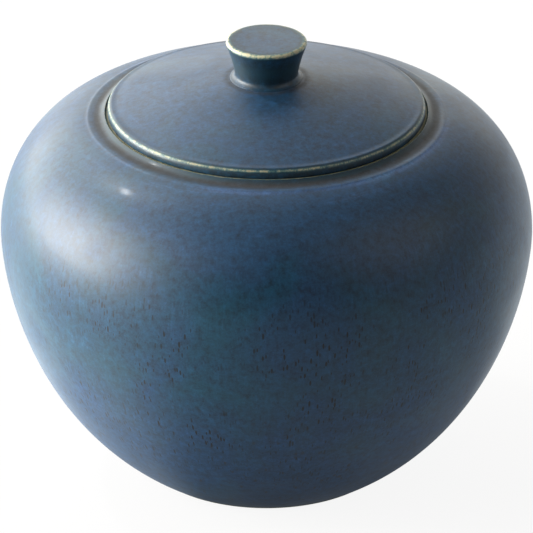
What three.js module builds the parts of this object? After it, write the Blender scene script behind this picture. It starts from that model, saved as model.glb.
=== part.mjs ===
// A lidded stoneware yarn bowl: a round-bellied jar turned on a wheel, a low domed lid that sits in
// a shallow rebate round the jar's mouth, and a waisted knob luted to the lid with slip.
// Millimetres, +Z up. The origin is the middle of the foot's underside.

import * as THREE from "three";

// The jar's outside
const footRadius = 49.1; // where the wall springs from the foot
const footBevel = 0.4; // wiped edge between the foot's face and the wall
const footAngle = 32.4; // degrees above the horizontal at which the wall leaves the foot
const bellyRadius = 105; // the widest circle
const bellyHeight = 100.2;
const rimHeight = 150.6; // the crisp edge round the lid
const rimBevel = 0.2;
const lipWidth = 1.5; // the hollow that lifts the collar up to the rim
const lipHeight = 1.6;
const collarWidth = 7.6; // from the rim out to the shoulder
const collarDrop = 2.2; // from the rim down to the shoulder
const collarSlope = 15.2; // degrees, where the shoulder reaches the collar
const beadHeight = 0.25; // a low bead stands at the collar's outer edge
const beadWidth = 2.4;

// How full the two curves of the outside are, as shares of the space that they cross
const footSweep = 0.88; // how far out the wall keeps the foot's angle
const bellyTuck = 0.12; // how soon the wall below the belly stands upright
const shoulderTurn = 0.47; // how soon the wall above the belly leans in
const shoulderSweep = 0.635; // how far the shoulder keeps the collar's slope

// The jar's inside, its mouth and its foot ring
const wallThickness = 5;
const floorThickness = 6;
const floorRound = 8; // from the flat floor out to where the wall begins
const footRecess = 3.2; // hollow turned under the floor
const footRingWidth = 6.5;
const recessDraft = 1.2; // how much the hollow narrows towards the floor
const mouthRadius = 56;
const mouthBevel = 1.2;
const seatWidth = 7.4; // the ledge that carries the lid
const seatThickness = 5.5;
const rebateDepth = 0.6; // from the rim down to the seat

// The lid
const lidGap = 0.95; // round the lid's edge, inside the rim
const lidEdgeHeight = 2.6; // the upright side of the lid
const lidTopRound = 1.2;
const lidLowRound = 0.6;
const lidThickness = 4.5;
const domeRise = 11.4; // from the lid's edge up to the knob's foot
const domeSlope = 18.5; // degrees, at the lid's edge
const domeSweep = 0.535; // how far in the dome keeps that slope, as a share of its width
const flangeClearance = 0.8; // round the flange, inside the mouth
const flangeDepth = 8;
const flangeThickness = 4.5;
const flangeBevel = 0.5;

// The knob
const knobHeight = 15.8;
const knobRadius = 15.9;
const knobTopRound = 1.3;
const knobNeckRadius = 12.4;
const knobNeckHeight = 2; // the flare that runs out on to the lid
const knobNeckFlare = 2;
const knobHollow = 1; // how late the knob's side leans out; at nought the neck is straightest

// How finely the turned shapes are cut
const turns = 64;
const beltSteps = 12;
const shoulderSteps = 10;
const domeSteps = 8;
const knobSteps = 4;
const edgeSteps = 2;

const glaze = { color: "#4d6478", roughness: 0.45, metalness: 0 };
const radians = THREE.MathUtils.degToRad;

// Places that more than one piece follows
const rimRadius = mouthRadius + seatWidth;
const seatHeight = rimHeight - rebateDepth;
const floorHeight = footRecess + floorThickness;
const lidRadius = rimRadius - lidGap;
const lidTopHeight = seatHeight + lidEdgeHeight + lidTopRound;
const knobFootRadius = knobNeckRadius + knobNeckFlare;
const knobFootHeight = lidTopHeight + domeRise;

const at = (radius, height) => new THREE.Vector2(radius, height);

// A small rounded edge in place of a corner.
function rounded(from, corner, to) {
  return new THREE.QuadraticBezierCurve(from, corner, to).getPoints(edgeSteps);
}

// A curve's points moved to its left by a distance, for the other face of a wall.
function offset(curve, steps, distance) {
  return curve.getPoints(steps).map((point, i) => {
    const along = curve.getTangent(i / steps);
    return point.add(at(-along.y, along.x).multiplyScalar(distance));
  });
}

// One turned piece. Its outline starts and ends on the axis and runs up the outside.
function turned(name, outline) {
  const minStep = 1e-3;
  const points = outline.filter((point, i) => i === 0 || point.distanceTo(outline[i - 1]) > minStep);
  const geometry = new THREE.LatheGeometry(points, turns);
  geometry.rotateX(Math.PI / 2); // the lathe turns about Y
  const mesh = new THREE.Mesh(geometry, new THREE.MeshStandardMaterial(glaze));
  mesh.name = name;
  return mesh;
}

// The outside of the wall from the foot to the belly.
function bellyCurve() {
  const spring = footSweep * (bellyRadius - footRadius);
  return new THREE.CubicBezierCurve(
    at(footRadius, footBevel),
    at(footRadius + spring, footBevel + spring * Math.tan(radians(footAngle))),
    at(bellyRadius, bellyHeight * (1 - bellyTuck)),
    at(bellyRadius, bellyHeight),
  );
}

// The outside of the wall from the belly to the collar.
function shoulderCurve() {
  const collar = at(rimRadius + collarWidth, rimHeight - collarDrop);
  const lean = shoulderSweep * (bellyRadius - collar.x);
  return new THREE.CubicBezierCurve(
    at(bellyRadius, bellyHeight),
    at(bellyRadius, bellyHeight + shoulderTurn * (collar.y - bellyHeight)),
    at(collar.x + lean, collar.y - lean * Math.tan(radians(collarSlope))),
    collar,
  );
}

// The collar's bead, the hollow inside it and the lip that rises to the rim.
function collarEdge() {
  const bead = at(rimRadius + collarWidth, rimHeight - collarDrop + beadHeight);
  const lipFoot = at(rimRadius + lipWidth, rimHeight - lipHeight);
  const lip = at(rimRadius + rimBevel, rimHeight);
  return [
    at(bead.x - beadWidth / 2, bead.y),
    at(bead.x - beadWidth, bead.y),
    ...rounded(lipFoot, at((lipFoot.x + lip.x) / 2, lipFoot.y + rimBevel), lip),
  ];
}

// The rebate that the lid drops into, and the mouth below it.
function mouthEdge() {
  const underside = seatHeight - seatThickness;
  return [
    at(rimRadius, rimHeight - rimBevel),
    at(rimRadius, seatHeight),
    at(mouthRadius, seatHeight),
    at(mouthRadius, underside + mouthBevel),
    at(mouthRadius + mouthBevel, underside),
  ];
}

function jarBody() {
  const belly = bellyCurve();
  const shoulder = shoulderCurve();
  const insideSteps = 8;
  const aboveFloor = (point) => point.y > floorHeight;
  const outsideMouth = (point) => point.x > mouthRadius + mouthBevel;
  const inside = [
    ...offset(belly, insideSteps, wallThickness).filter(aboveFloor),
    ...offset(shoulder, insideSteps, wallThickness).filter(outsideMouth),
  ].reverse();
  const floorRadius = inside.at(-1).x - floorRound;
  const ringInside = footRadius - footBevel - footRingWidth;
  return turned("jar_body", [
    at(0, footRecess),
    at(ringInside - recessDraft, footRecess),
    at(ringInside, 0),
    at(footRadius - footBevel, 0),
    ...belly.getPoints(beltSteps),
    ...shoulder.getPoints(shoulderSteps),
    ...collarEdge(),
    ...mouthEdge(),
    ...inside,
    at(floorRadius, floorHeight),
    at(0, floorHeight),
  ]);
}

// The lid's upper face, from its edge in to the knob's foot.
function domeCurve() {
  const edge = at(lidRadius - lidTopRound, lidTopHeight);
  const reach = domeSweep * (edge.x - knobFootRadius);
  return new THREE.QuadraticBezierCurve(
    edge,
    at(edge.x - reach, edge.y + reach * Math.tan(radians(domeSlope))),
    at(knobFootRadius, knobFootHeight),
  );
}

function lidPlate() {
  const dome = domeCurve();
  const outer = mouthRadius - flangeClearance;
  const inner = outer - flangeThickness;
  const foot = seatHeight - flangeDepth;
  const hollow = offset(dome, domeSteps, lidThickness)
    .filter((point) => point.x < inner - flangeBevel)
    .reverse();
  return turned("lid_plate", [
    at(0, hollow[0].y),
    ...hollow,
    at(inner, hollow.at(-1).y - flangeBevel),
    at(inner, foot + flangeBevel),
    at(inner + flangeBevel, foot),
    at(outer - flangeBevel, foot),
    at(outer, foot + flangeBevel),
    at(outer, seatHeight),
    ...rounded(
      at(lidRadius - lidLowRound, seatHeight),
      at(lidRadius, seatHeight),
      at(lidRadius, seatHeight + lidLowRound),
    ),
    ...rounded(
      at(lidRadius, seatHeight + lidEdgeHeight),
      at(lidRadius, lidTopHeight),
      at(lidRadius - lidTopRound, lidTopHeight),
    ),
    ...dome.getPoints(domeSteps),
    at(0, knobFootHeight),
  ]);
}

function lidKnob() {
  const top = knobFootHeight + knobHeight;
  const neck = at(knobNeckRadius, knobFootHeight + knobNeckHeight);
  const brow = at(knobRadius, top - knobTopRound);
  const side = new THREE.QuadraticBezierCurve(
    neck,
    at(knobNeckRadius + knobHollow, (neck.y + brow.y) / 2),
    brow,
  );
  return turned("lid_knob", [
    at(0, knobFootHeight),
    ...rounded(at(knobFootRadius, knobFootHeight), at(knobNeckRadius, knobFootHeight), neck),
    ...side.getPoints(knobSteps),
    ...rounded(brow, at(knobRadius, top), at(knobRadius - knobTopRound, top)),
    at(0, top),
  ]);
}

const yarnBowl = new THREE.Group();
const lid = new THREE.Group();
lid.add(lidPlate(), lidKnob());
yarnBowl.add(jarBody(), lid);

export default yarnBowl;
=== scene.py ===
# %% [markdown]
# # A lidded stoneware yarn bowl
#
# This lesson dresses a plain working model of a yarn bowl: a round-bellied jar, a low domed lid
# that lifts off, and a waisted knob stuck to the lid. All three were turned on a potter's wheel, so
# each is one outline spun about the upright axis, and most of the work goes into the glaze.
#
# The working model comes first. It fixes every size and every movement. What is made here only
# stands in front of it, piece for piece, in metres and in the same place.

# %% Load the working model
import math

import bmesh
import bpy
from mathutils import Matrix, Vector, noise
from mathutils.geometry import interpolate_bezier


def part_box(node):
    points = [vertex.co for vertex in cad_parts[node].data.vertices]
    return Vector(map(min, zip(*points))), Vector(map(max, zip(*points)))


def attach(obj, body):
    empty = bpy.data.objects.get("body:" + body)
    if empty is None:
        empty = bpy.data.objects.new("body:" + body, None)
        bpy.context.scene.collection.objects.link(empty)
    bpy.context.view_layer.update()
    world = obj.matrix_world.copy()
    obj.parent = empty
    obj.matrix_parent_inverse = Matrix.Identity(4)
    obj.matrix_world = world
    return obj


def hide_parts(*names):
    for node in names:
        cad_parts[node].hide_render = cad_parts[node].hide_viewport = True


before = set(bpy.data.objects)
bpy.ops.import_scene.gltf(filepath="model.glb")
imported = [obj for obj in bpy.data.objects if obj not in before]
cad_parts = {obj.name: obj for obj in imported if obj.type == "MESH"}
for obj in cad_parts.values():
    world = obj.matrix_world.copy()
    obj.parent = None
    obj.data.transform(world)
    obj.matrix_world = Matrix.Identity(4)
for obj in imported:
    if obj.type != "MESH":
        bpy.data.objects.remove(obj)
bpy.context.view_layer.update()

scene = bpy.context.scene
MM = 0.001

# %% [markdown]
# ## The view
#
# A long lens from far away keeps the rim and the foot nearly the same scale, as a catalogue picture
# does. The camera looks down by 26 degrees, enough to show the whole lid as an oval. Its distance
# and its lens go together: between them the bowl just fills the frame.

# %% The camera
LOOK_DOWN = math.radians(25.85)
CAMERA_DISTANCE = 3.169
LOOK_AT = Vector((0.0, 0.0, 0.0826))
LENS_MM = 540.4
SENSOR_MM = 36.0
FARTHEST_SEEN = 50.0  # metres


def aim(thing, place, target):
    """Put a camera or a light somewhere and turn it towards a target."""
    thing.location = place
    thing.rotation_euler = (target - place).to_track_quat("-Z", "Y").to_euler()


camera_data = bpy.data.cameras.new("camera")
camera_data.lens = LENS_MM
camera_data.sensor_width = SENSOR_MM
camera_data.clip_end = FARTHEST_SEEN
camera = bpy.data.objects.new("camera", camera_data)
scene.collection.objects.link(camera)
backwards = Vector((0.0, -math.cos(LOOK_DOWN), math.sin(LOOK_DOWN)))
aim(camera, LOOK_AT + backwards * CAMERA_DISTANCE, LOOK_AT)
scene.camera = camera
scene.view_settings.view_transform = "Standard"
print("camera at", tuple(round(c, 3) for c in camera.location))

# %% [markdown]
# ## Sizes
#
# Heights and radii are read from the working model where it has them: the belly, the rim, the
# lid's edge and the knob's top. The rest are the potter's own choices, in millimetres.

# %% Sizes from the working model
jar_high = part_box("jar_body")[1]
lid_low, lid_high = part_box("lid_plate")
knob_low, knob_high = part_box("lid_knob")

BELLY_RADIUS = jar_high.x
RIM_HEIGHT = jar_high.z
LID_RADIUS = lid_high.x
KNOB_RADIUS = knob_high.x
KNOB_FOOT_HEIGHT = knob_low.z
KNOB_TOP = knob_high.z
FLANGE_FOOT = lid_low.z
print(f"belly {BELLY_RADIUS * 2000:.0f} mm across, {KNOB_TOP * 1000:.0f} mm tall")

# %% Sizes that the potter chose
BELLY_HEIGHT = 100.2 * MM
FOOT_RADIUS = 49.1 * MM
FOOT_ROUND = 0.4 * MM  # the wiped edge between the foot's face and the wall
FOOT_HOLLOW = 3.2 * MM  # turned out under the floor
LID_GAP = 0.95 * MM  # round the lid's edge, inside the rim
REBATE_DEPTH = 0.6 * MM  # from the rim down to the ledge that carries the lid
SEAT_WIDTH = 7.4 * MM  # that ledge
WALL = 5.0 * MM
FLOOR_HEIGHT = 9.2 * MM

RIM_RADIUS = LID_RADIUS + LID_GAP
SEAT_HEIGHT = RIM_HEIGHT - REBATE_DEPTH
MOUTH_RADIUS = RIM_RADIUS - SEAT_WIDTH
print(f"mouth {MOUTH_RADIUS * 2000:.0f} mm across, inside a rim of {RIM_RADIUS * 2000:.0f} mm")

# %% [markdown]
# ## Outlines
#
# A potter's profile is a few long sweeps joined by small rounded edges. Two helpers draw those in
# the plane of the wheel, as points with a radius and a height: `sweep` is one cubic curve, and
# `corner` rounds off the corner between two straight runs. A third, `inner_wall`, follows an
# outline at the thickness of the wall, and can press in the soft rings that fingers leave.

# %% Helpers that draw an outline
CORNER_FULLNESS = 0.55  # makes a cubic curve follow a quarter of a circle


def at(radius, height):
    """A point of an outline, in the XZ plane."""
    return Vector((radius, 0.0, height))


def sweep(start, leave, arrive, end, steps):
    """A smooth curve from start to end that sets off towards leave and comes in from arrive."""
    return interpolate_bezier(start, leave, arrive, end, steps + 1)


def corner(before, point, after, radius, steps=5):
    """A rounded corner at point, between the runs from before and to after."""
    into = point + (before - point).normalized() * radius
    out_of = point + (after - point).normalized() * radius
    leave = into.lerp(point, CORNER_FULLNESS)
    arrive = out_of.lerp(point, CORNER_FULLNESS)
    return sweep(into, leave, arrive, out_of, steps)


def inner_wall(outline, thickness, ring_depth=0.0, ring_pitch=1.0):
    """The outline moved inwards by the thickness of the wall, with rings pressed into it."""
    moved = []
    travelled = 0.0
    for before, point, after in zip(outline, outline[1:], outline[2:]):
        along = (after - before).normalized()
        travelled += (point - before).length
        ring = ring_depth * (0.5 + 0.5 * math.sin(math.tau * travelled / ring_pitch))
        moved.append(point + Vector((-along.z, 0.0, along.x)) * (thickness + ring))
    return moved


print("a rounded corner has", len(corner(at(1, 0), at(1, 1), at(0, 1), 0.2)), "points")

# %% [markdown]
# ## Turning a piece
#
# The outline goes into a bmesh as a chain of edges. Long edges are subdivided, so that the finished
# surface is even, and the spin operator takes the chain once round the wheel. The spin leaves a
# bundle of points on the axis, so doubles are merged, and then the faces are turned to point out.
# A Screw modifier would turn the outline too, but a bmesh can also write numbers on every point.
#
# Each point carries two of them. `glaze` is how thick the glaze lies: it is 1 on open surfaces, it
# falls towards 0 on sharp edges, because molten glaze runs off them, and it is over 1 where glaze
# gathers. A value under 0 marks clay that was wiped bare. The second number is how brown the glaze
# turns. In the collar's hollow that brown is iron come through from the clay. Round the knob's foot
# it is partly iron and partly painted shade, where the knob meets the lid. The colours follow from
# these two numbers. Both are given as rings round the wheel: a radius, a height, a width, and the
# level that the number is pulled to there.

# %% Helpers that write the glaze, and the brown of iron and of painted shade
POOL_PATCHES = 1.4  # how many stretches of thick glaze go round a ring
POOL_START = Vector((63.02, 33.58, 13.34))
POOL_CONTRAST = 1.6


def pooling(place):
    """From 0 to 1: thick glaze gathers along some stretches of a ring and not along others."""
    side = Vector((place.x, place.y, 0)).normalized()
    gathered = 0.5 + POOL_CONTRAST * noise.noise(side * POOL_PATCHES + POOL_START)
    return min(1.0, max(0.0, gathered))


def ringed(place, start, rings):
    """A number at a place: it is start, and each ring pulls it to the ring's own level nearby."""
    radius = math.hypot(place.x, place.y)
    value = start
    for ring_radius, ring_height, width, level in rings:
        distance = math.hypot(radius - ring_radius, place.z - ring_height)
        near = math.exp(-((distance / width) ** 2))
        if level > 1:
            near *= pooling(place)
        value += (level - value) * near
    return value


middle_of_ring = ringed(at(BELLY_RADIUS, 0), 1.0, [(BELLY_RADIUS, 0, 1.0 * MM, 0.2)])
print(f"in the middle of a ring with a level of 0.2, glaze is {middle_of_ring:.1f}")

# %% Helpers that turn a piece
ROUND_STEPS = 160
LONGEST_EDGE = 2.0 * MM
SHORTEST_EDGE = 1e-7
MERGE_DISTANCE = 1e-6
WOBBLES_PER_METRE = 25.0
GLAZED, BARE = 0, 1  # the places of the two finishes in a piece's list of materials


def spun(outline):
    """A closed surface in a bmesh: the outline taken once round the wheel."""
    builder = bmesh.new()
    points = [builder.verts.new(point) for point in outline]
    for first, second in zip(points, points[1:]):
        if (first.co - second.co).length > SHORTEST_EDGE:
            builder.edges.new((first, second))
    for edge in list(builder.edges):
        cuts = int(edge.calc_length() / LONGEST_EDGE)
        if cuts:
            bmesh.ops.subdivide_edges(builder, edges=[edge], cuts=cuts)
    bmesh.ops.spin(
        builder,
        geom=builder.verts[:] + builder.edges[:],
        cent=(0, 0, 0),
        axis=(0, 0, 1),
        angle=math.tau,
        steps=ROUND_STEPS,
        use_merge=True,
    )
    bmesh.ops.remove_doubles(builder, verts=builder.verts[:], dist=MERGE_DISTANCE)
    bmesh.ops.recalc_face_normals(builder, faces=builder.faces[:])
    return builder


def turned_piece(name, outline, breaks, stains_and_shade, bare=lambda place: False, wobble=0.0):
    """Spin an outline into a closed piece, with its glaze and its brown rings on every point."""
    builder = spun(outline)
    glaze_layer = builder.verts.layers.float.new("glaze")
    iron_and_shade_layer = builder.verts.layers.float.new("iron_and_shade")
    for vert in builder.verts:
        vert[glaze_layer] = -1.0 if bare(vert.co) else ringed(vert.co, 1.0, breaks)
        vert[iron_and_shade_layer] = ringed(vert.co, 0.0, stains_and_shade)
        if wobble:
            depth = 0.5 + 0.5 * noise.noise(vert.co * WOBBLES_PER_METRE)
            vert.co -= vert.normal * wobble * depth
    mesh = bpy.data.meshes.new(name)
    builder.to_mesh(mesh)
    builder.free()
    mesh.shade_smooth()
    glazed = [value.value >= 0 for value in mesh.attributes["glaze"].data]
    for face in mesh.polygons:
        face.material_index = GLAZED if any(glazed[v] for v in face.vertices) else BARE
    piece = bpy.data.objects.new(name, mesh)
    scene.collection.objects.link(piece)
    print(f"{name}: {len(mesh.polygons)} faces")
    return piece


print(f"one turn of the wheel takes {ROUND_STEPS} steps of {360 / ROUND_STEPS:.2f} degrees")

# %% [markdown]
# ## The jar
#
# The wall springs from a narrow foot, swells to the belly and turns over into a flat shoulder. A
# low bead ends the shoulder. Inside it the collar dips and then lifts to a crisp rim, and the lid
# drops into a shallow rebate behind that rim. The inside follows the outside at the thickness of
# the wall, with the soft rings that fingers leave in the clay.
#
# It could be a sculpted ball, but a thrown pot is true to its axis, so one closed outline is drawn
# from the middle of the underside, up the outside, over the rim and back down to the middle of the
# floor.

# %% The jar's wall
COLLAR_RADIUS = RIM_RADIUS + 7.6 * MM
COLLAR_HEIGHT = RIM_HEIGHT - 2.2 * MM
COLLAR_SLOPE = math.radians(15.2)
FOOT_ANGLE = math.radians(32.4)
FOOT_SWEEP = 0.88  # how far out the wall keeps the foot's angle, as a share of the way
BELLY_TUCK = 0.88  # where the wall below the belly stands upright, as a share of its height
SHOULDER_TURN = 0.47  # how soon the wall above the belly leans in
SHOULDER_SWEEP = 0.635  # how far the shoulder keeps the collar's slope
WALL_STEPS = 110
SHOULDER_STEPS = 70

spring = FOOT_SWEEP * (BELLY_RADIUS - FOOT_RADIUS)
foot_edge = at(FOOT_RADIUS, FOOT_ROUND)
belly = at(BELLY_RADIUS, BELLY_HEIGHT)
collar = at(COLLAR_RADIUS, COLLAR_HEIGHT)
shoulder_run = SHOULDER_SWEEP * (BELLY_RADIUS - COLLAR_RADIUS)

below_belly = sweep(
    foot_edge,
    foot_edge + at(spring, spring * math.tan(FOOT_ANGLE)),
    at(BELLY_RADIUS, BELLY_HEIGHT * BELLY_TUCK),
    belly,
    WALL_STEPS,
)
above_belly = sweep(
    belly,
    at(BELLY_RADIUS, BELLY_HEIGHT + SHOULDER_TURN * (COLLAR_HEIGHT - BELLY_HEIGHT)),
    collar + at(shoulder_run, -shoulder_run * math.tan(COLLAR_SLOPE)),
    collar,
    SHOULDER_STEPS,
)
print("wall:", len(below_belly) + len(above_belly), "points")

# %% The collar and the rim
LIP_WIDTH = 3.0 * MM
LIP_RISE = 1.5 * MM
RIM_ROUND = 0.1 * MM
BEAD_STEPS = 6
SMALL_STEPS = 8  # for a small curve that shows

bead_top = at(COLLAR_RADIUS - 1.2 * MM, COLLAR_HEIGHT + 0.5 * MM)
bead_end = at(COLLAR_RADIUS - 2.6 * MM, COLLAR_HEIGHT + 0.45 * MM)
bead_leave = collar.lerp(bead_top, 0.6)
bead_arrive = bead_top + at(0.5 * MM, 0)
collar_run = sweep(collar, bead_leave, bead_arrive, bead_end, BEAD_STEPS)[1:]

lip_foot = at(RIM_RADIUS + LIP_WIDTH, RIM_HEIGHT - LIP_RISE)
rim_top = at(RIM_RADIUS + RIM_ROUND, RIM_HEIGHT)
lip_leave = lip_foot + at(-1.2 * MM, 0.3 * MM)
lip_arrive = rim_top + at(0.8 * MM, -0.5 * MM)
lip_run = sweep(lip_foot, lip_leave, lip_arrive, rim_top, SMALL_STEPS)
print("collar and rim:", len(collar_run) + len(lip_run), "points")

# %% The seat and the mouth
SEAT_THICKNESS = 5.5 * MM
SEAT_ROUND = 0.6 * MM
MOUTH_ROUND = 1.4 * MM

seat_corner = at(RIM_RADIUS, SEAT_HEIGHT)
mouth_top = at(MOUTH_RADIUS, SEAT_HEIGHT)
mouth_foot = at(MOUTH_RADIUS, SEAT_HEIGHT - SEAT_THICKNESS)
under_seat = at(MOUTH_RADIUS + 8 * MM, SEAT_HEIGHT - 5.9 * MM)
rebate = [
    at(RIM_RADIUS, RIM_HEIGHT - 0.12 * MM),
    at(RIM_RADIUS, RIM_HEIGHT - 0.3 * MM),
    seat_corner,
]
throat = corner(seat_corner, mouth_top, mouth_foot, SEAT_ROUND)
throat += corner(mouth_top, mouth_foot, under_seat, MOUTH_ROUND)
print("seat and mouth:", len(rebate) + len(throat), "points")

# %% The inside
THROWING_RING_DEPTH = 0.25 * MM
THROWING_RING_PITCH = 7.0 * MM
FLOOR_ROUND = 9 * MM  # from the flat floor out to where the wall begins
FLOOR_ROOM = 5 * MM  # left for the curve at the floor
MOUTH_ROOM = 4 * MM  # left for the slope under the seat

outside = below_belly + above_belly[1:]
inside = [
    point
    for point in inner_wall(outside, WALL, THROWING_RING_DEPTH, THROWING_RING_PITCH)
    if point.z > FLOOR_HEIGHT + FLOOR_ROOM and point.x > MOUTH_RADIUS + MOUTH_ROOM
]
inside.reverse()
wall_end = inside[-1]
floor_start = at(wall_end.x - FLOOR_ROUND, FLOOR_HEIGHT)
floor_leave = wall_end + at(-3 * MM, -3 * MM)
floor_arrive = floor_start + at(4 * MM, 0)
floor_curve = sweep(wall_end, floor_leave, floor_arrive, floor_start, SMALL_STEPS)[1:]
print("inside:", len(inside) + len(floor_curve), "points")

# %% The foot ring and the whole outline
RING_WIDTH = 6.9 * MM
RECESS_WIDTH = 8.1 * MM  # from the foot's edge in to where the hollow is deepest

ring_inside = at(FOOT_RADIUS - RING_WIDTH, 0)
ring_outside = at(FOOT_RADIUS - FOOT_ROUND, 0)
recess = at(FOOT_RADIUS - RECESS_WIDTH, FOOT_HOLLOW)
under_centre = at(0, FOOT_HOLLOW)
foot_run = (
    [under_centre]
    + corner(under_centre, recess, ring_inside, 1.0 * MM)
    + corner(recess, ring_inside, ring_outside, 0.5 * MM)
    + [ring_outside]
)
jar_outline = (
    foot_run
    + outside
    + collar_run
    + lip_run
    + rebate
    + throat
    + inside
    + floor_curve
    + [at(0, FLOOR_HEIGHT)]
)
print("the jar's outline:", len(jar_outline), "points")

# %% The jar
SEAT_BARE_INSET = 0.5 * MM
FOOT_BARE_HEIGHT = 0.3 * MM
LEVEL_WITHIN = 0.1 * MM  # how close to the seat's height a place has to be


def jar_is_bare(place):
    """The foot's face and the lid's seat are wiped clean, or they would stick in the kiln."""
    radius = math.hypot(place.x, place.y)
    on_foot = place.z < FOOT_BARE_HEIGHT
    level = abs(place.z - SEAT_HEIGHT) < LEVEL_WITHIN
    return on_foot or (level and radius < RIM_RADIUS - SEAT_BARE_INSET)


jar = turned_piece(
    "jar",
    jar_outline,
    breaks=[
        (RIM_RADIUS + 1.3 * MM, RIM_HEIGHT - 0.8 * MM, 1.8 * MM, 0.62),
        (RIM_RADIUS, RIM_HEIGHT, 0.3 * MM, 0.1),
        (COLLAR_RADIUS + 0.2 * MM, COLLAR_HEIGHT + 0.2 * MM, 1.3 * MM, 1.3),
        (FOOT_RADIUS, FOOT_ROUND, 1.2 * MM, 0.3),
    ],
    stains_and_shade=[(RIM_RADIUS + 3.3 * MM, RIM_HEIGHT - 1.7 * MM, 2.6 * MM, 0.66)],
    bare=jar_is_bare,
    wobble=0.1 * MM,
)
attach(jar, "jar")
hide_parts("jar_body")

# %% [markdown]
# ## The lid
#
# The lid is a shallow dome with a square-shouldered edge. Underneath, a flange drops into the
# mouth and keeps the lid from sliding off. A flattened ball would give the dome but not that edge,
# so the lid is turned from one closed outline as well, from the middle of its hollow underside out
# round the flange and the edge to the knob's foot.

# %% The lid's dome and edge
LID_EDGE_TOP = SEAT_HEIGHT + 3.8 * MM
LID_EDGE_ROUND = 1.9 * MM
LID_THICKNESS = 4.5 * MM
KNOB_FOOT_RADIUS = 14.4 * MM
DOME_SLOPE = math.radians(18.5)
DOME_SWEEP = 0.535  # how far in the dome keeps that slope, as a share of its width
DOME_STEPS = 36
BEND = 2 / 3  # how far both handles of a curve reach towards the one point that it bends round

edge_foot = at(LID_RADIUS, SEAT_HEIGHT)
edge_top = at(LID_RADIUS, LID_EDGE_TOP)
dome_start = at(LID_RADIUS - 1.2 * MM, LID_EDGE_TOP)
dome_end = at(KNOB_FOOT_RADIUS, KNOB_FOOT_HEIGHT)
reach = DOME_SWEEP * (dome_start.x - dome_end.x)
dome_bend = dome_start + at(-reach, reach * math.tan(DOME_SLOPE))
dome_leave = dome_start.lerp(dome_bend, BEND)
dome_arrive = dome_end.lerp(dome_bend, BEND)
dome = sweep(dome_start, dome_leave, dome_arrive, dome_end, DOME_STEPS)
edge_turn = corner(edge_foot, edge_top, dome[3], LID_EDGE_ROUND, SMALL_STEPS)
dome_inside_edge = [point for point in dome if point.x < edge_turn[-1].x - 0.4 * MM]
print(f"dome: {(KNOB_FOOT_HEIGHT - LID_EDGE_TOP) * 1000:.1f} mm high, {len(dome)} points")

# %% The lid's underside
FLANGE_OUTSIDE = MOUTH_RADIUS - 0.8 * MM
FLANGE_INSIDE = FLANGE_OUTSIDE - 4.5 * MM
FLANGE_ROUND = 1.2 * MM
HOLLOW_ROUND = 1.5 * MM
LID_LOW_ROUND = 0.6 * MM

lid_hollow = [p for p in inner_wall(dome, LID_THICKNESS) if p.x < FLANGE_INSIDE - 3 * MM]
lid_hollow.reverse()
hollow_end = at(FLANGE_INSIDE, lid_hollow[-1].z - 0.9 * MM)
flange_inner = at(FLANGE_INSIDE, FLANGE_FOOT)
flange_outer = at(FLANGE_OUTSIDE, FLANGE_FOOT)
flange_root = at(FLANGE_OUTSIDE, SEAT_HEIGHT)
lid_outline = (
    [at(0, lid_hollow[0].z)]
    + lid_hollow
    + corner(lid_hollow[-1], hollow_end, flange_inner, HOLLOW_ROUND)
    + corner(hollow_end, flange_inner, flange_outer, FLANGE_ROUND)
    + corner(flange_inner, flange_outer, flange_root, FLANGE_ROUND)
    + [flange_root]
    + corner(flange_root, edge_foot, edge_top, LID_LOW_ROUND)
    + edge_turn
    + dome_inside_edge
    + [at(0, KNOB_FOOT_HEIGHT)]
)
print("the lid's outline:", len(lid_outline), "points")

# %% The lid
def lid_is_bare(place):
    """The flange and the face that meets the seat are wiped clean."""
    radius = math.hypot(place.x, place.y)
    on_seat = place.z < SEAT_HEIGHT + LEVEL_WITHIN and radius < LID_RADIUS - 1.0 * MM
    return on_seat and radius > FLANGE_INSIDE - 0.2 * MM


lid = turned_piece(
    "lid",
    lid_outline,
    breaks=[
        (LID_RADIUS, SEAT_HEIGHT + 1.4 * MM, 1.8 * MM, 0.7),
        (LID_RADIUS - 0.4 * MM, LID_EDGE_TOP - 0.4 * MM, 0.9 * MM, 0.2),
    ],
    # Round the knob's foot: a brown ring that is partly iron and partly painted shade where the
    # knob meets the lid.
    stains_and_shade=[(KNOB_FOOT_RADIUS + 1.3 * MM, KNOB_FOOT_HEIGHT, 2.0 * MM, 0.58)],
    bare=lid_is_bare,
    wobble=0.08 * MM,
)
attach(lid, "lid")
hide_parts("lid_plate")

# %% [markdown]
# ## The knob
#
# The knob flares from a narrow waist to a flat top. Its foot runs out on to the lid in a small
# fillet of slip, so that no seam shows once both are glazed together. The glaze is thin all round
# the waist, where it ran down, and thinnest on the edge of the top, where it breaks to cream.

# %% The knob
NECK_RADIUS = 12.4 * MM
NECK_HEIGHT = 2.0 * MM
KNOB_HOLLOW = 1.0 * MM  # how late the side leans out
KNOB_EDGE_ROUND = 1.3 * MM
KNOB_STEPS = 16

neck = at(NECK_RADIUS, KNOB_FOOT_HEIGHT + NECK_HEIGHT)
knob_foot = at(KNOB_FOOT_RADIUS, KNOB_FOOT_HEIGHT)
brow = at(KNOB_RADIUS, KNOB_TOP - KNOB_EDGE_ROUND)
knob_edge = at(KNOB_RADIUS, KNOB_TOP)
knob_middle = at(NECK_RADIUS + KNOB_HOLLOW, (neck.z + brow.z) / 2)
slip_leave = knob_foot + at(-1.0 * MM, 0.1 * MM)
slip_arrive = neck + at(0, -1.0 * MM)
side_leave = neck.lerp(knob_middle, BEND)
side_arrive = brow.lerp(knob_middle, BEND)
knob_outline = (
    [at(0, KNOB_FOOT_HEIGHT)]
    + sweep(knob_foot, slip_leave, slip_arrive, neck, SMALL_STEPS)
    + sweep(neck, side_leave, side_arrive, brow, KNOB_STEPS)[1:]
    + corner(brow, knob_edge, at(0, KNOB_TOP), KNOB_EDGE_ROUND, SMALL_STEPS)[1:]
    + [at(0, KNOB_TOP)]
)
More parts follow.
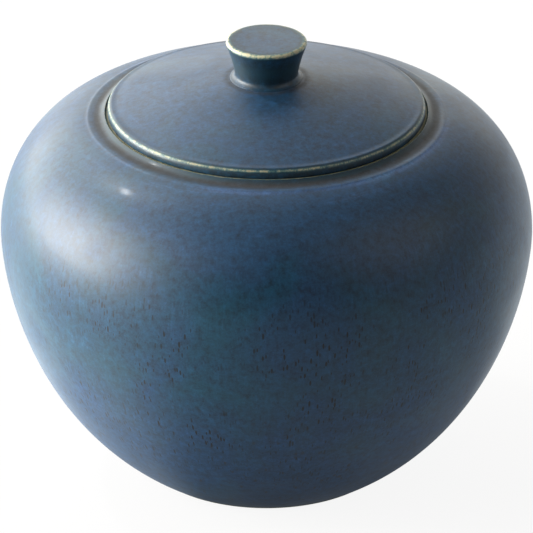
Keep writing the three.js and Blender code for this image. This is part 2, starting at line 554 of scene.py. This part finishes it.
knob = turned_piece(
    "knob",
    knob_outline,
    breaks=[
        (NECK_RADIUS + 0.6 * MM, KNOB_FOOT_HEIGHT + 7.0 * MM, 7.5 * MM, 0.62),
        (KNOB_RADIUS - 0.4 * MM, KNOB_TOP - 0.4 * MM, 1.4 * MM, 0.05),
    ],
    # At its foot: a brown ring that is partly iron and partly painted shade where the knob meets
    # the lid.
    stains_and_shade=[(KNOB_FOOT_RADIUS + 0.5 * MM, KNOB_FOOT_HEIGHT, 1.2 * MM, 0.5)],
)
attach(knob, "lid")
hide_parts("lid_knob")

# %% [markdown]
# ## The glaze
#
# A satin blue stoneware glaze over an iron-bearing clay, dipped and fired until it just ran. It
# could be painted by hand on an unwrapped surface. Here it is built from nodes on the piece's own
# coordinates, because the real one follows rules: its colour comes from its thickness. It is cream
# where it breaks over an edge, dark teal where it is thin and slate blue where it lies well. Three
# things then stir it: the streaks that it ran in, clouds of teal and violet, and the clay's iron.
# Two more are painted light. The glaze turns more violet away from the belly, as a painted
# reflection of the pale table below and the room above. The brown round the knob's foot is partly
# painted shade.

# %% Helpers for materials
def linear(hex_colour):
    """An sRGB hex colour as the linear colour that a shader takes."""
    channels = [int(hex_colour[i : i + 2], 16) / 255 for i in (1, 3, 5)]
    return [c / 12.92 if c <= 0.04045 else ((c + 0.055) / 1.055) ** 2.4 for c in channels] + [1.0]


def add_node(tree, kind, links=None, **settings):
    """Add a node, set its properties and its sockets' values, and link what feeds it."""
    node = tree.nodes.new(kind)
    for name, value in settings.items():
        setattr(node, name, value)
    for socket, source in (links or {}).items():
        if isinstance(source, bpy.types.NodeSocket):
            tree.links.new(source, node.inputs[socket])
        else:
            node.inputs[socket].default_value = source
    return node


print("half of full brightness on a screen is", round(linear("#808080")[0], 2), "in linear light")

# %% The glaze's colours
GLAZE_MOST = 1.5
GLAZE_COLOURS = [  # thickness, colour
    (0.00, "#c0bc9c"),
    (0.14, "#a3a78a"),
    (0.30, "#536d66"),
    (0.50, "#12414b"),
    (0.66, "#092c37"),
    (0.85, "#0b394b"),
    (1.05, "#0f4059"),
    (1.35, "#3a6885"),
]
TEAL_TINT = linear("#d0f2ea")
VIOLET_TINT = linear("#ffdcff")
# The brown of iron. Round the knob's foot it is partly painted shade.
IRON_AND_SHADE_BROWN = linear("#212327")
TICK_BLACK = linear("#03090f")
BLEED_BROWN = linear("#201c1c")
print(len(GLAZE_COLOURS), "steps from bare edge to thick glaze")

# %% The glaze's shader
glaze = bpy.data.materials.new("satin_blue_stoneware_glaze")
glaze.use_nodes = True
tree = glaze.node_tree
shader = tree.nodes["Principled BSDF"]
shader.inputs["IOR"].default_value = 1.5  # as glass
shader.inputs["Coat Weight"].default_value = 0.05  # gives a lamp its small sharp reflection
shader.inputs["Coat Roughness"].default_value = 0.12
print("started", glaze.name)

# %% Where things lie on the glaze
BELLY_SCALE = 0.1  # metres: patterns round the wheel keep their size at this radius

place = add_node(tree, "ShaderNodeTexCoord").outputs["Object"]
outwards = {0: place, 1: (1, 1, 0)}
outwards = add_node(tree, "ShaderNodeVectorMath", outwards, operation="MULTIPLY").outputs[0]
around = add_node(tree, "ShaderNodeVectorMath", {0: outwards}, operation="NORMALIZE").outputs[0]
radius = add_node(tree, "ShaderNodeVectorMath", {0: outwards}, operation="LENGTH").outputs["Value"]
height = add_node(tree, "ShaderNodeSeparateXYZ", {0: place}).outputs["Z"]
normal = add_node(tree, "ShaderNodeNewGeometry").outputs["Normal"]
upward = add_node(tree, "ShaderNodeSeparateXYZ", {0: normal}).outputs["Z"]
flatness = add_node(tree, "ShaderNodeMath", {0: upward}, operation="ABSOLUTE").outputs[0]
steepness = {"Value": flatness, "From Min": 0.45, "From Max": 0.85, "To Min": 1.0, "To Max": 0.0}
steepness = add_node(tree, "ShaderNodeMapRange", steepness).outputs[0]
print("places:", len(tree.nodes), "nodes so far")

# %% Two patterns that follow the wheel
def wall_pattern(width, length):
    """Coordinates whose unit is width round the wheel and length up the wall."""
    upright = {0: place, 1: (0, 0, 1 / length)}
    upright = add_node(tree, "ShaderNodeVectorMath", upright, operation="MULTIPLY").outputs[0]
    spread = BELLY_SCALE / width
    stretched = {0: around, 1: (spread, spread, 0), 2: upright}
    return add_node(tree, "ShaderNodeVectorMath", stretched, operation="MULTIPLY_ADD").outputs[0]


def wheel_pattern(turn_length, width):
    """Coordinates whose unit is turn_length round the wheel and width across its rings."""
    across = add_node(tree, "ShaderNodeCombineXYZ", {"X": radius, "Z": height}).outputs[0]
    scaled = {0: across, "Scale": 1 / width}
    scaled = add_node(tree, "ShaderNodeVectorMath", scaled, operation="SCALE").outputs[0]
    spread = BELLY_SCALE / turn_length
    turned = {0: around, 1: (spread, spread, 0), 2: scaled}
    return add_node(tree, "ShaderNodeVectorMath", turned, operation="MULTIPLY_ADD").outputs[0]


streak_place = wall_pattern(width=1.1 * MM, length=9 * MM)
ring_place = wheel_pattern(turn_length=40 * MM, width=1.5 * MM)
wisp_place = wheel_pattern(turn_length=30 * MM, width=6 * MM)
print("patterns:", len(tree.nodes), "nodes so far")

# %% [markdown]
# ### Streaks, rings and clouds
#
# On the steep wall molten glaze leaves upright streaks about a millimetre wide. On the flat lid it
# keeps the rings of the wheel instead. Both are plain noise, stretched one way or the other, and
# the steepness of the surface picks between them. Broad clouds of a few centimetres and wisps of
# six millimetres come from how unevenly the dip went on.

# %% How the glaze ran
CLOUD_SIZE = 34 * MM
GRAIN_SIZE = 3 * MM  # at its coarsest, and rough detail down to a sixteenth of that

streaks = {"Vector": streak_place, "Scale": 1.0, "Detail": 2.0}
streaks = add_node(tree, "ShaderNodeTexNoise", streaks).outputs["Fac"]
rings = {"Vector": ring_place, "Scale": 1.0, "Detail": 2.0}
rings = add_node(tree, "ShaderNodeTexNoise", rings).outputs["Fac"]
marks = add_node(tree, "ShaderNodeMix", {"Factor": steepness, 2: rings, 3: streaks}).outputs[0]
wisps = {"Vector": wisp_place, "Scale": 1.0, "Detail": 4.0}
wisps = add_node(tree, "ShaderNodeTexNoise", wisps).outputs["Fac"]
clouds = {"Vector": place, "Scale": 1 / CLOUD_SIZE, "Detail": 4.0, "Distortion": 0.5}
clouds = add_node(tree, "ShaderNodeTexNoise", clouds).outputs["Fac"]
clouds = {"Value": clouds, "From Min": 0.33, "From Max": 0.67}
clouds = add_node(tree, "ShaderNodeMapRange", clouds).outputs[0]
grain = {"Vector": place, "Scale": 1 / GRAIN_SIZE, "Detail": 4.0, "Roughness": 0.85}
grain = add_node(tree, "ShaderNodeTexNoise", grain).outputs["Fac"]
print("runs and clouds:", len(tree.nodes), "nodes so far")

# %% How thick the glaze lies
MARK_DEPTH = 0.28  # how much streaks and wisps change the thickness
FRAY_DEPTH = 0.45  # how much the grain breaks up an edge where the glaze is thin
GRAIN_RANGE = {"From Min": 0.3, "From Max": 0.7}  # nearly all of the grain's noise is in here

painted = add_node(tree, "ShaderNodeAttribute", attribute_name="glaze").outputs["Fac"]
stirred = add_node(tree, "ShaderNodeMath", {0: marks, 1: wisps}, operation="ADD").outputs[0]
stirred = add_node(tree, "ShaderNodeMath", {0: stirred, 1: 1.0}, operation="SUBTRACT").outputs[0]
thickness = {0: stirred, 1: MARK_DEPTH, 2: painted}
thickness = add_node(tree, "ShaderNodeMath", thickness, operation="MULTIPLY_ADD").outputs[0]
fray = {"Value": grain, **GRAIN_RANGE, "To Min": -FRAY_DEPTH, "To Max": FRAY_DEPTH}
fray = add_node(tree, "ShaderNodeMapRange", fray).outputs[0]
thinness = add_node(
    tree, "ShaderNodeMath", {0: 1.0, 1: painted}, operation="SUBTRACT", use_clamp=True
).outputs[0]
thickness = {0: fray, 1: thinness, 2: thickness}
thickness = add_node(tree, "ShaderNodeMath", thickness, operation="MULTIPLY_ADD").outputs[0]
print("thickness:", len(tree.nodes), "nodes so far")

# %% Thickness to colour
share = {0: thickness, 1: GLAZE_MOST}
share = add_node(tree, "ShaderNodeMath", share, operation="DIVIDE").outputs[0]
ramp = add_node(tree, "ShaderNodeValToRGB", {"Fac": share})
stops = ramp.color_ramp.elements
while len(stops) < len(GLAZE_COLOURS):
    stops.new(1.0)
for stop, (level, colour) in zip(stops, GLAZE_COLOURS):
    stop.position = level / GLAZE_MOST
    stop.color = linear(colour)
print("ramp:", len(stops), "stops")

# %% Teal and violet clouds, and a painted violet reflection away from the belly
TEAL_BELT_HEIGHT = 95 * MM  # the painted violet reflection is weakest round the belly, where the glaze stays greenest
TINT_STRENGTH = 0.85
REFLECTED_VIOLET_OFF_BELT = 0.6  # painted reflection: how much more violet the glaze turns away from the belly

# Painted reflection: away from the belly the clouds turn more violet, standing in for the pale
# table below and the room above that the glaze reflects.
painted_reflection_off_belt = {0: height, 1: TEAL_BELT_HEIGHT}
painted_reflection_off_belt = add_node(tree, "ShaderNodeMath", painted_reflection_off_belt, operation="SUBTRACT").outputs[0]
painted_reflection_off_belt = add_node(tree, "ShaderNodeMath", {0: painted_reflection_off_belt}, operation="ABSOLUTE").outputs[0]
painted_reflection_off_belt = {"Value": painted_reflection_off_belt, "From Min": 15 * MM, "From Max": 65 * MM}
painted_reflection_off_belt.update({"To Min": 0.0, "To Max": REFLECTED_VIOLET_OFF_BELT})
painted_reflection_off_belt = add_node(tree, "ShaderNodeMapRange", painted_reflection_off_belt).outputs[0]
violet = {0: clouds, 1: painted_reflection_off_belt}
violet = add_node(tree, "ShaderNodeMath", violet, operation="ADD", use_clamp=True).outputs[0]
tint = {"Factor": violet, 6: TEAL_TINT, 7: VIOLET_TINT}
tint = add_node(tree, "ShaderNodeMix", tint, data_type="RGBA").outputs[2]
tinted = {0: painted, 1: TINT_STRENGTH}
tinted = add_node(tree, "ShaderNodeMath", tinted, operation="MULTIPLY", use_clamp=True).outputs[0]
clouded_and_reflected = {"Factor": tinted, 6: ramp.outputs["Color"], 7: tint}
clouded_and_reflected = add_node(
    tree, "ShaderNodeMix", clouded_and_reflected, data_type="RGBA", blend_type="MULTIPLY"
).outputs[2]
print("clouds:", len(tree.nodes), "nodes so far")

# %% [markdown]
# ### Iron, and painted shade at the knob's foot
#
# Iron comes through from the clay in three ways. It stains the hollow of the collar and the foot of
# the knob brown. Round the knob's foot that brown is partly painted shade, where the knob meets the
# lid. It gives the whole surface a fine grain: the real one is a few tenths of a millimetre, and it
# is drawn from a coarser, rough noise so that it shows. And it bleeds up as specks: dark ticks that
# ran down the wall, and rounder brown spots low on the bowl. A cell pattern makes the specks, each
# in the middle of its own cell, so they never run together. Each cell has a random number of its
# own, which says how large its speck is and whether it has one at all.

# %% Iron stains, painted shade at the knob's foot, and the grain
STAIN_AND_SHADE_WANDER = 0.5  # how far the wisps push about the edge of each brown ring, iron stain and painted shade alike
GRAIN_DARKEST = 0.4
GRAIN_PALEST = 1.45

iron_and_shade = add_node(tree, "ShaderNodeAttribute", attribute_name="iron_and_shade").outputs["Fac"]
iron_and_shade = {0: wisps, 1: STAIN_AND_SHADE_WANDER, 2: iron_and_shade}
iron_and_shade = add_node(tree, "ShaderNodeMath", iron_and_shade, operation="MULTIPLY_ADD").outputs[0]
stain_and_shade_mask = {"Value": iron_and_shade, "From Min": 0.45, "From Max": 1.05}
stain_and_shade_mask = add_node(tree, "ShaderNodeMapRange", stain_and_shade_mask, interpolation_type="SMOOTHSTEP").outputs[0]
# Brown where iron stains the collar's hollow. Round the knob's foot it is partly painted shade.
browned = {"Factor": stain_and_shade_mask, 6: clouded_and_reflected, 7: IRON_AND_SHADE_BROWN}
browned = add_node(tree, "ShaderNodeMix", browned, data_type="RGBA").outputs[2]
shade = {"Value": grain, **GRAIN_RANGE, "To Min": GRAIN_DARKEST, "To Max": GRAIN_PALEST}
shade = add_node(tree, "ShaderNodeMapRange", shade).outputs[0]
grained = {0: browned, "Scale": shade}
grained = add_node(tree, "ShaderNodeVectorMath", grained, operation="SCALE").outputs[0]
print("stains and grain:", len(tree.nodes), "nodes so far")

# %% A helper for specks
def specks(pattern, rarity, largest):
    """A mask of specks: one in some of a pattern's cells, each of its own size."""
    cells = add_node(tree, "ShaderNodeTexVoronoi", {"Vector": pattern, "Scale": 1.0})
    chance = add_node(tree, "ShaderNodeSeparateColor", {0: cells.outputs["Color"]}).outputs[0]
    size = {"Value": chance, "From Min": rarity, "From Max": 1.0, "To Min": 0.0, "To Max": largest}
    size = add_node(tree, "ShaderNodeMapRange", size).outputs[0]
    inside = {0: size, 1: cells.outputs["Distance"]}
    inside = add_node(tree, "ShaderNodeMath", inside, operation="SUBTRACT").outputs[0]
    edge = {"Value": inside, "From Min": -0.02, "From Max": 0.05}
    return add_node(tree, "ShaderNodeMapRange", edge).outputs[0]


ticks = specks(wall_pattern(width=1.1 * MM, length=3.6 * MM), rarity=0.15, largest=0.42)
bleeds = specks(wall_pattern(width=2.6 * MM, length=3.4 * MM), rarity=0.4, largest=0.32)
print("specks:", len(tree.nodes), "nodes so far")

# %% Where the specks show
BLEED_STRENGTH = 0.7
BLEEDS_HIGH_UP = 0.15  # how many of the brown spots are left on the upper wall

flocked = {"Value": clouds, "From Min": 0.2, "From Max": 0.6}
flocked = add_node(tree, "ShaderNodeMapRange", flocked).outputs[0]
below_shoulder = {"Value": height, "From Min": 104 * MM, "From Max": 128 * MM}
below_shoulder.update({"To Min": 1.0, "To Max": 0.0})
below_shoulder = add_node(tree, "ShaderNodeMapRange", below_shoulder).outputs[0]
low_down = {"Value": height, "From Min": 30 * MM, "From Max": 75 * MM}
low_down.update({"To Min": 1.0, "To Max": BLEEDS_HIGH_UP})
low_down = add_node(tree, "ShaderNodeMapRange", low_down).outputs[0]
for mask in (flocked, steepness, below_shoulder):
    ticks = add_node(tree, "ShaderNodeMath", {0: ticks, 1: mask}, operation="MULTIPLY").outputs[0]
for mask in (BLEED_STRENGTH, low_down):
    bleeds = add_node(tree, "ShaderNodeMath", {0: bleeds, 1: mask}, operation="MULTIPLY").outputs[0]

ticked = {"Factor": ticks, 6: grained, 7: TICK_BLACK}
ticked = add_node(tree, "ShaderNodeMix", ticked, data_type="RGBA").outputs[2]
specked = {"Factor": bleeds, 6: ticked, 7: BLEED_BROWN}
specked = add_node(tree, "ShaderNodeMix", specked, data_type="RGBA").outputs[2]
tree.links.new(specked, shader.inputs["Base Color"])
print("colour:", len(tree.nodes), "nodes so far")

# %% [markdown]
# ### Gloss
#
# The glaze is satin: fine crystals in it scatter a reflection into a soft patch, and a thin glassy
# skin on top keeps a faint sharp one. It is dry where iron stains it. The skin has a slight orange
# peel of under two millimetres, and each tick is a tiny pit. Both are a few hundredths of a
# millimetre deep, too shallow to model, so they are bump.

# %% Gloss and skin
SMOOTHEST = 0.42
ROUGHEST = 0.52
IRON_DRYNESS = 0.25
PIT_DEPTH = 0.8  # as a share of the peel's
PEEL_SIZE = 1.6 * MM
PEEL_HEIGHT = 0.03 * MM

gloss = {"Value": clouds, "To Min": SMOOTHEST, "To Max": ROUGHEST}
gloss = add_node(tree, "ShaderNodeMapRange", gloss).outputs[0]
gloss = {0: stain_and_shade_mask, 1: IRON_DRYNESS, 2: gloss}
gloss = add_node(tree, "ShaderNodeMath", gloss, operation="MULTIPLY_ADD").outputs[0]
tree.links.new(gloss, shader.inputs["Roughness"])
peel = {"Vector": place, "Scale": 1 / PEEL_SIZE, "Detail": 1.0}
peel = add_node(tree, "ShaderNodeTexNoise", peel).outputs["Fac"]
pitted = {0: ticks, 1: -PIT_DEPTH, 2: peel}
pitted = add_node(tree, "ShaderNodeMath", pitted, operation="MULTIPLY_ADD").outputs[0]
skin = {"Height": pitted, "Distance": PEEL_HEIGHT, "Strength": 1.0}
skin = add_node(tree, "ShaderNodeBump", skin).outputs[0]
tree.links.new(skin, shader.inputs["Normal"])
print("glaze:", len(tree.nodes), "nodes")

# %% [markdown]
# ## Bare clay
#
# Iron-bearing stoneware that was wiped clean before the firing: toasted brown, dry to the touch and
# slightly gritty, with darker flecks of grog. One noise at the size of the grog gives both the
# flecks and the grit.

# %% The bare clay
CLAY_DARK = linear("#5b4636")
CLAY_PALE = linear("#8d7258")
GROG_SIZE = 0.9 * MM
GRIT_HEIGHT = 0.08 * MM

clay = bpy.data.materials.new("wiped_bare_stoneware")
clay.use_nodes = True
clay_tree = clay.node_tree
clay_shader = clay_tree.nodes["Principled BSDF"]
clay_shader.inputs["Roughness"].default_value = 0.85
clay_place = add_node(clay_tree, "ShaderNodeTexCoord").outputs["Object"]
grog = {"Vector": clay_place, "Scale": 1 / GROG_SIZE, "Detail": 3.0}
grog = add_node(clay_tree, "ShaderNodeTexNoise", grog).outputs["Fac"]
toast = {"Factor": grog, 6: CLAY_DARK, 7: CLAY_PALE}
toast = add_node(clay_tree, "ShaderNodeMix", toast, data_type="RGBA").outputs[2]
clay_tree.links.new(toast, clay_shader.inputs["Base Color"])
grit = {"Height": grog, "Distance": GRIT_HEIGHT, "Strength": 1.0}
grit = add_node(clay_tree, "ShaderNodeBump", grit).outputs[0]
clay_tree.links.new(grit, clay_shader.inputs["Normal"])
print("clay:", len(clay_tree.nodes), "nodes")

# %% Put the two finishes on
for piece in (jar, lid, knob):
    for finish in (glaze, clay):  # in the order of GLAZED and BARE
        piece.data.materials.append(finish)
    bare_faces = sum(face.material_index == BARE for face in piece.data.polygons)
    print(f"{piece.name}: {bare_faces} bare faces")

# %% [markdown]
# ## Light
#
# One big window low on the left does most of the work. A pale wall stands behind the bowl, and the
# room in front and on the right is dim. Each of these is a glow in the world's shader, brightest in
# one direction and fading smoothly round it, so that no hard edge shows in the satin glaze. A small
# lamp over the back of the room adds the one bright spot on the shoulder.

# %% The room
GLOWS = [  # azimuth and elevation in degrees, tightness, radiance
    (175, 5, 14, 29.0),
    (188, 20, 14, 5.0),
    (124, 3, 24, 6.0),
    (118, 30, 8, 3.0),
    (78, 3, 14, 1.8),
    (42, 3, 12, 0.6),
    (340, 38, 10, 1.4),
]


def towards(azimuth, elevation):
    """The direction at an azimuth and an elevation in degrees."""
    azimuth = math.radians(azimuth)
    elevation = math.radians(elevation)
    level = math.cos(elevation)
    return Vector((level * math.cos(azimuth), level * math.sin(azimuth), math.sin(elevation)))


world = bpy.data.worlds.new("room")
scene.world = world
world.use_nodes = True
room = world.node_tree
direction = add_node(room, "ShaderNodeTexCoord").outputs["Generated"]
brightness = 0.0
for azimuth, elevation, tightness, radiance in GLOWS:
    aligned = {0: direction, 1: towards(azimuth, elevation)}
    aligned = add_node(room, "ShaderNodeVectorMath", aligned, operation="DOT_PRODUCT")
    fading = {0: aligned.outputs["Value"], 1: tightness, 2: -tightness}
    fading = add_node(room, "ShaderNodeMath", fading, operation="MULTIPLY_ADD").outputs[0]
    glow = add_node(room, "ShaderNodeMath", {0: fading}, operation="EXPONENT").outputs[0]
    brightness = {0: glow, 1: radiance, 2: brightness}
    brightness = add_node(room, "ShaderNodeMath", brightness, operation="MULTIPLY_ADD").outputs[0]
print("room:", len(GLOWS), "glows")

# %% The backdrop
# The room lights the bowl, but the camera sees an even white behind it.
BACKDROP_WHITE = 0.95
DAYLIGHT = linear("#fffbf2")
WHITE = linear("#ffffff")

seen = add_node(room, "ShaderNodeLightPath").outputs["Is Camera Ray"]
strength = {"Factor": seen, 2: brightness, 3: BACKDROP_WHITE}
strength = add_node(room, "ShaderNodeMix", strength).outputs[0]
tone = {"Factor": seen, 6: DAYLIGHT, 7: WHITE}
tone = add_node(room, "ShaderNodeMix", tone, data_type="RGBA").outputs[2]
backdrop = room.nodes["Background"]
room.links.new(tone, backdrop.inputs["Color"])
room.links.new(strength, backdrop.inputs["Strength"])
print("world:", len(room.nodes), "nodes")

# %% The lamp
LAMP_WIDTH = 0.13
LAMP_HEIGHT = 0.04
LAMP_RADIANCE = 320.0
LAMP_AZIMUTH = 146
LAMP_ELEVATION = 53
LAMP_DISTANCE = 1.5
LAMP_TARGET = Vector((0, 0, 0.09))

lamp_data = bpy.data.lights.new("lamp", "AREA")
lamp_data.shape = "RECTANGLE"
lamp_data.size = LAMP_WIDTH
lamp_data.size_y = LAMP_HEIGHT
lamp_data.energy = LAMP_RADIANCE * lamp_data.size * lamp_data.size_y * math.pi
lamp = bpy.data.objects.new("lamp", lamp_data)
scene.collection.objects.link(lamp)
lamp_side = towards(LAMP_AZIMUTH, LAMP_ELEVATION)
aim(lamp, LAMP_TARGET + lamp_side * LAMP_DISTANCE, LAMP_TARGET)
print(f"lamp: {lamp_data.energy:.1f} W at", tuple(round(c, 2) for c in lamp.location))

# %% [markdown]
# ## The table
#
# A sweep of white paper. Its brightness in the bowl's reflections follows the light that falls on
# it: brightest towards the window, then towards the pale wall behind, and dimmer close to the foot,
# where the bowl itself keeps the light off. To the camera it is evenly white, with a faint shadow
# where the bowl stands.

# %% The table
TABLE_HALF_WIDTH = 4.0

table_builder = bmesh.new()
bmesh.ops.create_grid(table_builder, x_segments=1, y_segments=1, size=TABLE_HALF_WIDTH)
table_mesh = bpy.data.meshes.new("table")
table_builder.to_mesh(table_mesh)
table_builder.free()
table = bpy.data.objects.new("table", table_mesh)
scene.collection.objects.link(table)
print("table:", tuple(table.dimensions.to_2d()), "metres")

# %% How the paper glows
PAPER_DIM = 0.56
PAPER_GLOWS = [(187, 1.5), (132, 0.9), (58, 0.9)]  # azimuth in degrees, radiance added there
PAPER_GLOW_EDGE = 0.52  # the cosine of the angle at which such a glow ends
FOOT_SHADE = 0.35  # how much of the paper's glow is left right beside the foot
COOL_BOUNCE = linear("#f0f8ff")

paper = bpy.data.materials.new("white_paper_sweep")
paper.use_nodes = True
paper_tree = paper.node_tree
paper_place = add_node(paper_tree, "ShaderNodeTexCoord").outputs["Object"]
paper_side = add_node(paper_tree, "ShaderNodeVectorMath", {0: paper_place}, operation="NORMALIZE")
reach = add_node(paper_tree, "ShaderNodeVectorMath", {0: paper_place}, operation="LENGTH")
paper_light = PAPER_DIM
for azimuth, radiance in PAPER_GLOWS:
    aligned = {0: paper_side.outputs[0], 1: towards(azimuth, 0)}
    aligned = add_node(paper_tree, "ShaderNodeVectorMath", aligned, operation="DOT_PRODUCT")
    lit = {"Value": aligned.outputs["Value"], "From Min": PAPER_GLOW_EDGE, "To Max": radiance}
    lit = add_node(paper_tree, "ShaderNodeMapRange", lit, interpolation_type="SMOOTHSTEP")
    paper_light = {0: lit.outputs[0], 1: paper_light}
    paper_light = add_node(paper_tree, "ShaderNodeMath", paper_light, operation="ADD").outputs[0]
open_to_light = {"Value": reach.outputs["Value"], "From Min": 40 * MM, "From Max": 130 * MM}
open_to_light.update({"To Min": FOOT_SHADE, "To Max": 1.0})
open_to_light = add_node(
    paper_tree, "ShaderNodeMapRange", open_to_light, interpolation_type="SMOOTHSTEP"
).outputs[0]
paper_light = {0: paper_light, 1: open_to_light}
paper_light = add_node(paper_tree, "ShaderNodeMath", paper_light, operation="MULTIPLY").outputs[0]
glowing = {"Color": COOL_BOUNCE, "Strength": paper_light}
glowing = add_node(paper_tree, "ShaderNodeEmission", glowing).outputs[0]
print("paper's glow:", len(paper_tree.nodes), "nodes so far")

# %% How the camera sees the paper
PAPER_GREY = linear("#bcbcbc")
PAPER_ROUGHNESS = 0.9
PAPER_EVENNESS = 0.87  # how little of the real shadow shows
PAPER_WHITE = 1.04

paper_shader = paper_tree.nodes["Principled BSDF"]
paper_shader.inputs["Base Color"].default_value = PAPER_GREY
paper_shader.inputs["Roughness"].default_value = PAPER_ROUGHNESS
white = add_node(paper_tree, "ShaderNodeEmission", {"Strength": PAPER_WHITE}).outputs[0]
evened = {0: PAPER_EVENNESS, 1: paper_shader.outputs[0], 2: white}
evened = add_node(paper_tree, "ShaderNodeMixShader", evened).outputs[0]
seen = add_node(paper_tree, "ShaderNodeLightPath").outputs["Is Camera Ray"]
surface = {0: seen, 1: glowing, 2: evened}
surface = add_node(paper_tree, "ShaderNodeMixShader", surface).outputs[0]
paper_tree.links.new(surface, paper_tree.nodes["Material Output"].inputs["Surface"])
table.data.materials.append(paper)
print("paper:", len(paper_tree.nodes), "nodes")
